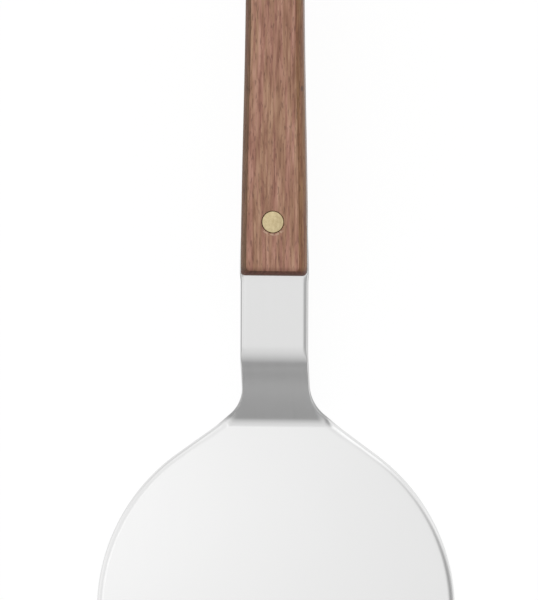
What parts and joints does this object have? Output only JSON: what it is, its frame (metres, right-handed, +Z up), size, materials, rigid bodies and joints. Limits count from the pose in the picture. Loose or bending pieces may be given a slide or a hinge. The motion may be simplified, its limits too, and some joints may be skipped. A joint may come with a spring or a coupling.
{
  "type": "teppanyaki turner",
  "caption": "Wide round-backed steel turner with a cranked neck and a riveted wooden handle, for lifting food on a flat griddle.",
  "frame": {"origin": "on the resting plane, under the middle of the turner's length and width", "axes": "+X across the blade, +Y from the blade's front edge to the butt of the handle, +Z up from the blade's flat underside"},
  "size_m": [0.131, 0.3118, 0.0473],
  "materials": {
    "steel": "fine lengthwise brushing",
    "wood": "oiled, satin",
    "brass": "ground flush, satin"
  },
  "bodies": {
    "root": {"blade_and_tang": "steel", "upper_scale": "wood", "lower_scale": "wood", "front_rivet_female": "brass", "front_rivet_male": "brass", "rear_rivet_female": "brass", "rear_rivet_male": "brass", "hanging_hole_liner": "brass"}
  },
  "joints": []
}
